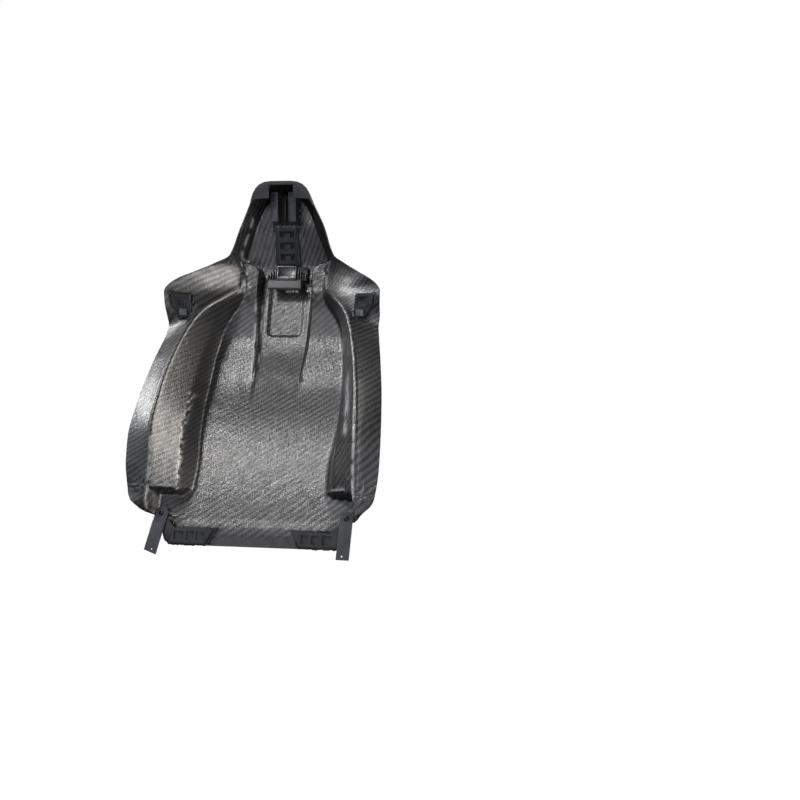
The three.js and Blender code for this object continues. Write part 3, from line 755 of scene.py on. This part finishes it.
def bead(name, path, radius, seed):
    """Lumpy run of squeezed-out glue along a closed path on the inner surface."""
    spots = []
    for a, b in zip(path, path[1:] + path[:1]):
        count = max(1, int(np.linalg.norm(b - a) / BEAD_STEP))
        spots += [lerp(a, b, k / count) for k in range(count)]
    verts = []
    for n, (x, z) in enumerate(spots):
        drift = noise.noise_vector(Vector((x / 9, z / 9, seed))) * 2.2
        x, z = x + drift.x, max(z + drift.y, 2.5)
        size = radius * (1 + 0.75 * noise.noise(Vector((x / 5, z / 5, seed + 4))))
        ahead = spots[(n + 1) % len(spots)] - spots[n - 1]
        side = Vector((ahead[1], 0, -ahead[0])).normalized()
        centre = Vector((x, surface_y(x, z) - 0.3 * size, z))
        for k in range(RING):
            angle = k * math.tau / RING
            sideways = side * size * 1.3 * math.cos(angle)
            proud = Vector((0, size * math.sin(angle), 0))
            verts.append((centre + sideways + proud) * MM + ORIGIN)
    faces = []
    for n in range(len(spots)):
        this, following = n * RING, (n + 1) % len(spots) * RING
        for k in range(RING):
            turned = (k + 1) % RING
            faces.append((this + k, this + turned, following + turned, following + k))
    piece = new_mesh(name, verts, faces)
    bm = bmesh.new()
    bm.from_mesh(piece.data)
    bmesh.ops.recalc_face_normals(bm, faces=bm.faces)
    bm.to_mesh(piece.data)
    bm.free()
    piece.data.materials.append(M["glue"])
    piece.data.shade_smooth()
    return settle(piece, "adhesive", ROOT)


shell = build_shell()
for key in ("inner", "outer", "edge"):
    shell.data.materials.append(M[key])
settle(shell, "carbon_laminate", ROOT, "carbon_shell")

moulded("head_cap", "cap", 1.1)
for hand in ("left", "right"):
    moulded(f"guide_rail_{hand}", "rail", 0.5)
    moulded(f"shoulder_bracket_{hand}", "bracket", 0.7)
    moulded(f"shoulder_clip_{hand}", "clip", 0.4)
    moulded(f"lower_bracket_{hand}", "bracket", 0.7)
    moulded(f"strap_washer_{hand}", "black_steel", 0.15)
    moulded(f"strap_rivet_{hand}", "black_steel", 0.3)
    moulded(f"strap_{hand}", "slate", 0.5, f"strap_{hand}")
    for where in ("shoulder", "lower"):
        moulded(f"{where}_adhesive_{hand}", "glue", 1.5)
moulded("guide_channel", "slot", 0.5)
moulded("guide_adhesive", "glue", 1.5)
moulded("ladder_spine", "dark", 0.5)
moulded("spine_bracket", "bracket", 0.5)
moulded("spine_adhesive", "glue", 1.2)
moulded("latch_tab", "grey", 1.0, "latch_tab")
moulded("latch_pin", "black_steel", 0.2)
spring = frame["nodes"]["latch_spring"].data
spring.materials.clear()
spring.materials.append(M["black_steel"])


# ---------------------------------------------------------------- squeezed-out glue, and painted shade behind the ladder
# Outlines of what was glued down, as (x, height).
SHOULDER_PLATE = ((233, 558), (191, 558), (187, 511), (211, 502), (222, 520), (231, 535))
LOWER_PLATE = ((84, 34), (101, 3), (176, 3), (190, 14), (196, 46), (186, 55), (177, 45), (164, 34))
GUIDE_BASE = ((-29, 752), (29, 752), (29, 806), (-29, 806))
SPINE_BASE = ((-47, 637), (47, 637), (47, 670), (-47, 670))

for seed, (side, hand) in enumerate(((-1, "left"), (1, "right"))):
    bead(f"shoulder_bead_{hand}", grown([(side * x, z) for x, z in SHOULDER_PLATE], 1.5), 2.0, seed)
    bead(f"lower_bead_{hand}", grown([(side * x, z) for x, z in LOWER_PLATE], 2.0), 2.5, seed + 10)


def ladder_window_shade():
    """Near-black sheet just behind the strip: painted shade that shows through the ladder's windows."""
    foot, head = Vector((0, 106, 676)), Vector((0, 62, 753))
    lean = (head - foot).normalized()
    inward = Vector((0, lean.z, -lean.y))
    corners = []
    for depth in (5.4, 6.2):
        for x, share in ((-22, 0.06), (22, 0.06), (21, 0.95), (-21, 0.95)):
            spot = Vector((x, 0, 0)) + foot.lerp(head, share) + inward * depth
            corners.append(spot * MM + ORIGIN)
    faces = [(0, 3, 2, 1), (4, 5, 6, 7)]
    faces += [(k, (k + 1) % 4, 4 + (k + 1) % 4, 4 + k) for k in range(4)]
    piece = new_mesh("ladder_window_shade", corners, faces)
    piece.data.materials.append(M["slot"])
    settle(piece, "dark_plastic", ROOT)


ladder_window_shade()
bead("guide_bead", grown(GUIDE_BASE, 3), 2.0, 21)
bead("spine_bead", grown(SPINE_BASE, 3), 1.6, 25)


# ---------------------------------------------------------------- stage and light
FLOOR_RADIUS = 14
FLOOR_HEIGHT = -0.72  # below the part, which hangs clear of it


def build_stage():
    """Pale round floor that lights nothing and shows in no reflection."""
    bm = bmesh.new()
    bmesh.ops.create_circle(bm, cap_ends=True, segments=96, radius=FLOOR_RADIUS)
    mesh = bpy.data.meshes.new("studio_floor")
    bm.to_mesh(mesh)
    bm.free()
    floor_piece = bpy.data.objects.new("studio_floor", mesh)
    floor_piece.location.z = FLOOR_HEIGHT
    bpy.context.collection.objects.link(floor_piece)
    g = Graph("studio_floor")
    g.set(Base_Color=g.blend(g.noise(g.position(), 3), grey(0.80), grey(0.84)), Roughness=0.9)
    g.set(Emission_Color=grey(1), Emission_Strength=0.7)
    mesh.materials.append(g.material)
    floor_piece.visible_diffuse = floor_piece.visible_glossy = False


# Soft lights round the part: direction, cosines of the inner and outer edge, colour.
LOBES = (
    ((0.96, -0.18, 0.20), 0.97, 0.88, (6.2, 5.95, 5.6)),
    ((-0.80, -0.52, 0.28), 0.97, 0.84, (0.55, 0.57, 0.61)),
    ((-0.68, -0.40, 0.62), 0.96, 0.82, (0.15, 0.16, 0.18)),
    ((-0.40, -0.76, 0.50), 0.99, 0.90, (0.42, 0.44, 0.47)),
    ((-0.27, -0.96, 0.02), 0.99, 0.95, (1.1, 1.1, 1.15)),
    ((-0.89, -0.10, 0.43), 0.99, 0.97, (9.0, 9.0, 9.0)),
    ((0.35, 0.90, 0.35), 0.95, 0.65, (1.5, 1.52, 1.58)),
    ((0.15, -0.72, -0.66), 0.97, 0.80, (0.75, 0.76, 0.80)),
    ((0.0, 0.0, 1.0), 0.0, -1.0, (0.028, 0.032, 0.04)),
)


def build_world():
    """White backdrop, and soft light that comes from a few broad directions."""
    world = bpy.data.worlds.new("studio")
    bpy.context.scene.world = world
    world.use_nodes = True
    world.node_tree.nodes.clear()
    g = Nodes(world.node_tree)
    unit = g.vector("NORMALIZE", g.add("ShaderNodeTexCoord").outputs["Generated"])
    tints = []
    for direction, inner, outer, colour in LOBES:
        facing = g.vector("DOT_PRODUCT", unit, Vector(direction).normalized())
        tints.append(g.vector("SCALE", colour, scale=g.ramp(facing, outer, inner)))
    soft = g.add("ShaderNodeBackground")
    g.put(soft.inputs["Color"], functools.reduce(lambda a, b: g.vector("ADD", a, b), tints))
    white = g.add("ShaderNodeBackground")
    g.put(white.inputs["Color"], (1, 1, 1, 1))
    seen = g.add("ShaderNodeLightPath").outputs["Is Camera Ray"]
    mix = g.add("ShaderNodeMixShader")
    for socket, value in zip(mix.inputs, (seen, soft.outputs[0], white.outputs[0])):
        g.put(socket, value)
    g.put(g.add("ShaderNodeOutputWorld").inputs["Surface"], mix.outputs[0])


def area_light(name, spot, target, size, power, colour):
    """Square lamp at a spot, turned to a target."""
    data = bpy.data.lights.new(name, "AREA")
    data.shape, data.size = "SQUARE", size
    data.energy, data.color = power, colour
    lamp = bpy.data.objects.new(name, data)
    lamp.location = spot
    lamp.rotation_euler = (Vector(target) - Vector(spot)).to_track_quat("-Z", "Y").to_euler()
    bpy.context.collection.objects.link(lamp)


build_stage()
build_world()
area_light("key", (-1.30, -2.60, 2.10), (0, 0, 0.30), 0.45, 26, (1.0, 0.98, 0.95))
area_light("fill", (1.45, -1.70, -0.35), (0, 0, 0.55), 0.5, 7, (0.97, 0.98, 1.0))
bpy.context.scene.view_settings.view_transform = "Standard"
